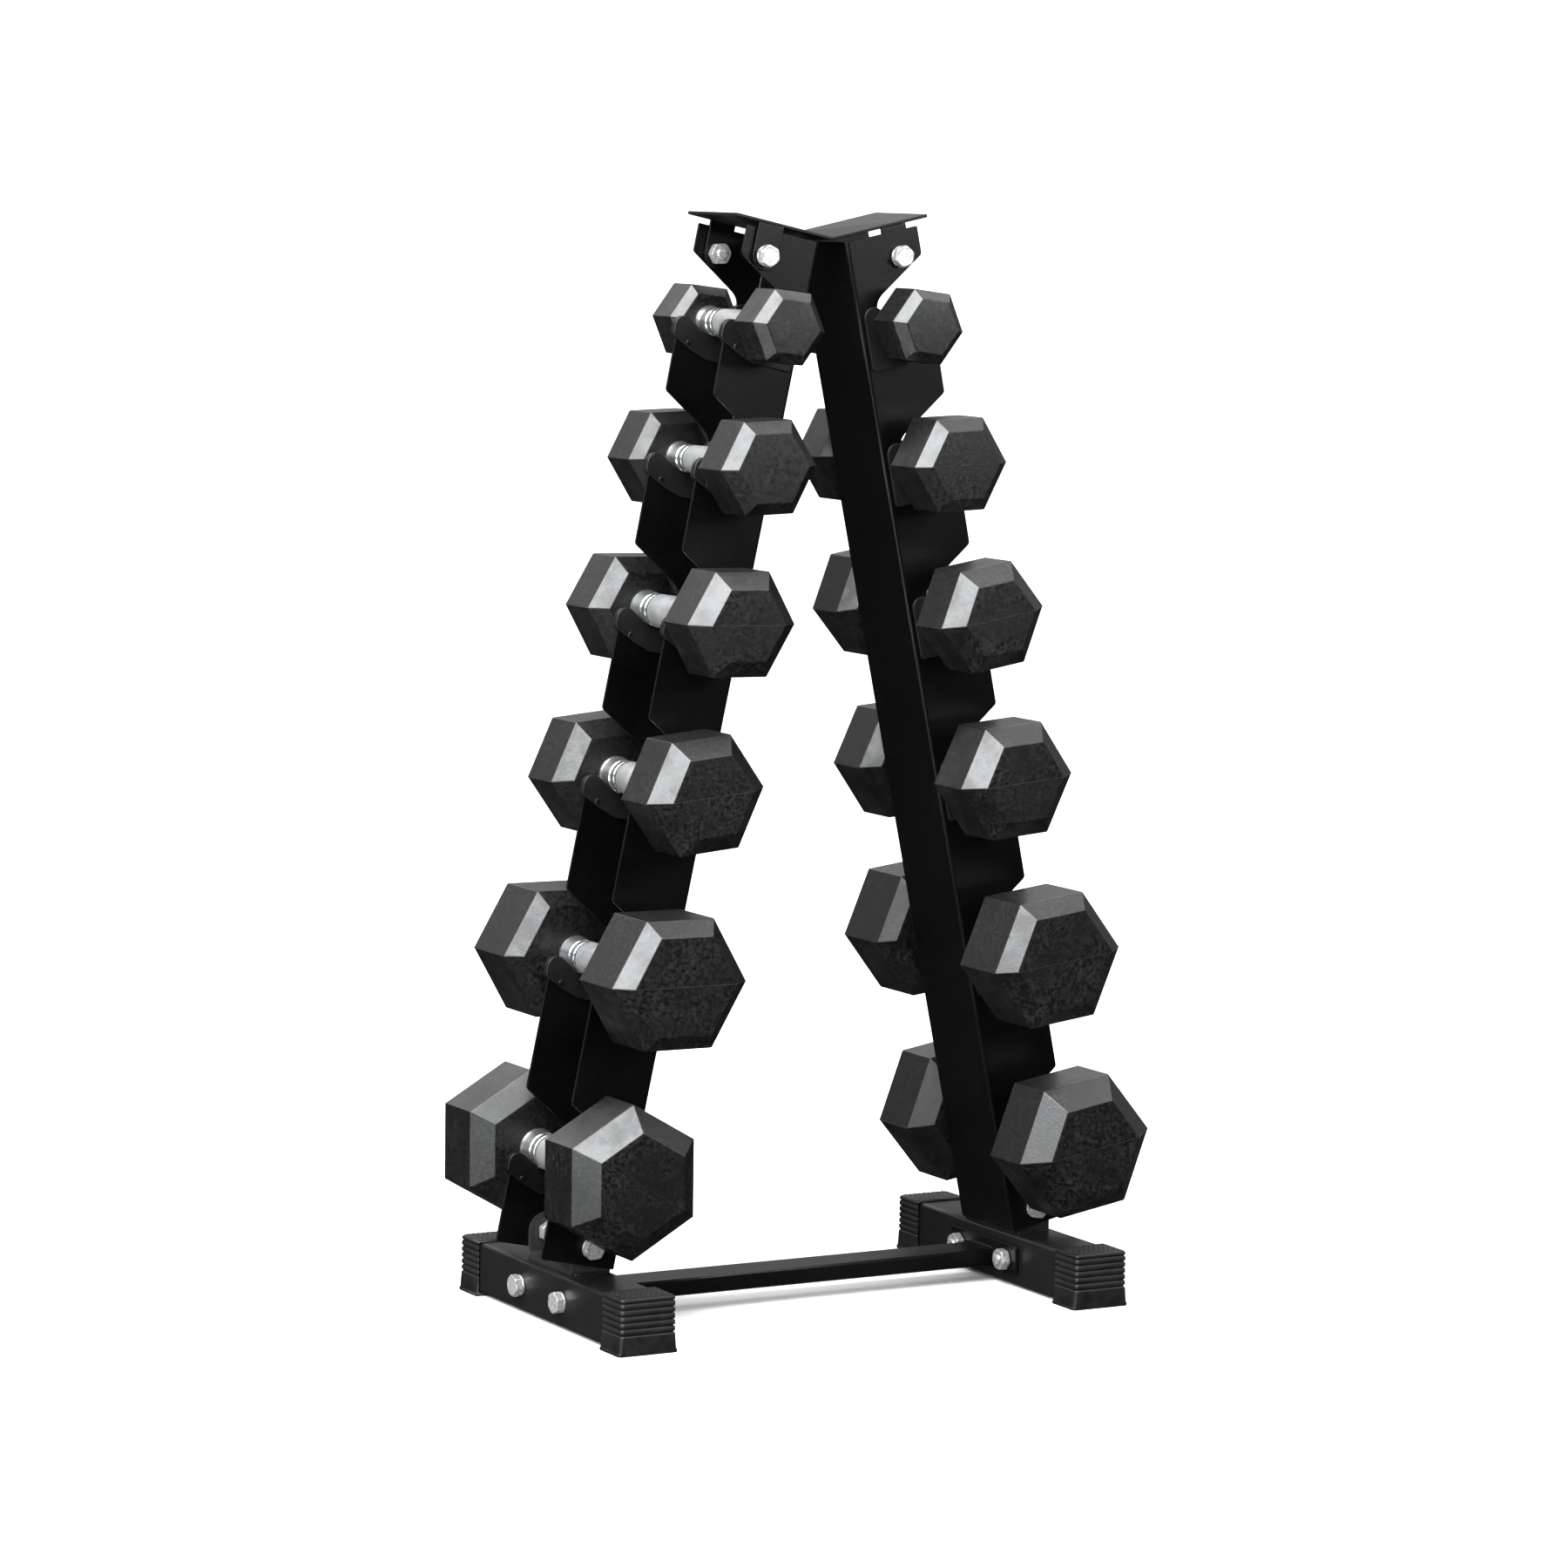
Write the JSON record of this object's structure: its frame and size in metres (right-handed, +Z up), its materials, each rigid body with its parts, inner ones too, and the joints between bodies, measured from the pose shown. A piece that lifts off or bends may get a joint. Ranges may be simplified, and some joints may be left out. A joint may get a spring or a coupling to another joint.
{
  "type": "dumbbell rack",
  "caption": "A-frame dumbbell rack with two leaning notched legs, saddle liners, ribbed feet and pairs of hexagonal rubber dumbbells resting in its cradles.",
  "frame": {"origin": "on the floor, at the middle of the box around the rack", "axes": "+X to the right leg seen from the front, +Y to the rear along the dumbbells' handles, +Z up"},
  "size_m": [0.5698, 0.314, 0.959],
  "materials": {
    "painted_steel": "satin black powder coat with a fine grain",
    "saddle_plastic": "matte black moulded plastic saddle liners",
    "head_rubber": "cast iron under a matte black rubber coat with a fine grain",
    "cap_rubber": "matte ribbed black rubber",
    "chrome": "polished with fine turning marks",
    "zinc": "bright zinc plated"
  },
  "bodies": {
    "rack": {"top_plate": "painted_steel", "cross_bar": "painted_steel", "left_leg": "painted_steel", "left_base": "painted_steel", "left_top_bolt_front": "zinc", "left_top_bolt_rear": "zinc", "left_foot_bolt_front": "zinc", "left_foot_bolt_rear": "zinc", "left_bar_bolt_front": "zinc", "left_bar_bolt_rear": "zinc", "left_cap_front": "cap_rubber", "left_cap_rear": "cap_rubber", "right_leg": "painted_steel", "right_base": "painted_steel", "right_top_bolt_front": "zinc", "right_top_bolt_rear": "zinc", "right_foot_bolt_front": "zinc", "right_foot_bolt_rear": "zinc", "right_bar_bolt_front": "zinc", "right_bar_bolt_rear": "zinc", "right_cap_front": "cap_rubber", "right_cap_rear": "cap_rubber"},
    "left_dumbbell_1": {"left_1_handle": "chrome", "left_1_front_head": "head_rubber", "left_1_rear_head": "head_rubber"},
    "left_dumbbell_2": {"left_2_handle": "chrome", "left_2_front_head": "head_rubber", "left_2_rear_head": "head_rubber"},
    "left_dumbbell_3": {"left_3_handle": "chrome", "left_3_front_head": "head_rubber", "left_3_rear_head": "head_rubber"},
    "left_dumbbell_4": {"left_4_handle": "chrome", "left_4_front_head": "head_rubber", "left_4_rear_head": "head_rubber"},
    "left_dumbbell_5": {"left_5_handle": "chrome", "left_5_front_head": "head_rubber", "left_5_rear_head": "head_rubber"},
    "left_dumbbell_6": {"left_6_handle": "chrome", "left_6_front_head": "head_rubber", "left_6_rear_head": "head_rubber"},
    "right_dumbbell_1": {"right_1_handle": "chrome", "right_1_front_head": "head_rubber", "right_1_rear_head": "head_rubber"},
    "right_dumbbell_2": {"right_2_handle": "chrome", "right_2_front_head": "head_rubber", "right_2_rear_head": "head_rubber"},
    "right_dumbbell_3": {"right_3_handle": "chrome", "right_3_front_head": "head_rubber", "right_3_rear_head": "head_rubber"},
    "right_dumbbell_4": {"right_4_handle": "chrome", "right_4_front_head": "head_rubber", "right_4_rear_head": "head_rubber"},
    "right_dumbbell_5": {"right_5_handle": "chrome", "right_5_front_head": "head_rubber", "right_5_rear_head": "head_rubber"},
    "right_dumbbell_6": {"right_6_handle": "chrome", "right_6_front_head": "head_rubber", "right_6_rear_head": "head_rubber"}
  },
  "joints": [
    {"name": "left_1_lift", "type": "slide", "parent": "rack", "child": "left_dumbbell_1", "axis": [-0.6428, 0, 0.766], "range_m": [0, 0.058]},
    {"name": "left_2_lift", "type": "slide", "parent": "rack", "child": "left_dumbbell_2", "axis": [-0.6428, 0, 0.766], "range_m": [0, 0.058]},
    {"name": "left_3_lift", "type": "slide", "parent": "rack", "child": "left_dumbbell_3", "axis": [-0.6428, 0, 0.766], "range_m": [0, 0.058]},
    {"name": "left_4_lift", "type": "slide", "parent": "rack", "child": "left_dumbbell_4", "axis": [-0.6428, 0, 0.766], "range_m": [0, 0.058]},
    {"name": "left_5_lift", "type": "slide", "parent": "rack", "child": "left_dumbbell_5", "axis": [-0.6428, 0, 0.766], "range_m": [0, 0.058]},
    {"name": "left_6_lift", "type": "slide", "parent": "rack", "child": "left_dumbbell_6", "axis": [-0.6428, 0, 0.766], "range_m": [0, 0.058]},
    {"name": "right_1_lift", "type": "slide", "parent": "rack", "child": "right_dumbbell_1", "axis": [0.6428, 0, 0.766], "range_m": [0, 0.058]},
    {"name": "right_2_lift", "type": "slide", "parent": "rack", "child": "right_dumbbell_2", "axis": [0.6428, 0, 0.766], "range_m": [0, 0.058]},
    {"name": "right_3_lift", "type": "slide", "parent": "rack", "child": "right_dumbbell_3", "axis": [0.6428, 0, 0.766], "range_m": [0, 0.058]},
    {"name": "right_4_lift", "type": "slide", "parent": "rack", "child": "right_dumbbell_4", "axis": [0.6428, 0, 0.766], "range_m": [0, 0.058]},
    {"name": "right_5_lift", "type": "slide", "parent": "rack", "child": "right_dumbbell_5", "axis": [0.6428, 0, 0.766], "range_m": [0, 0.058]},
    {"name": "right_6_lift", "type": "slide", "parent": "rack", "child": "right_dumbbell_6", "axis": [0.6428, 0, 0.766], "range_m": [0, 0.058]}
  ]
}
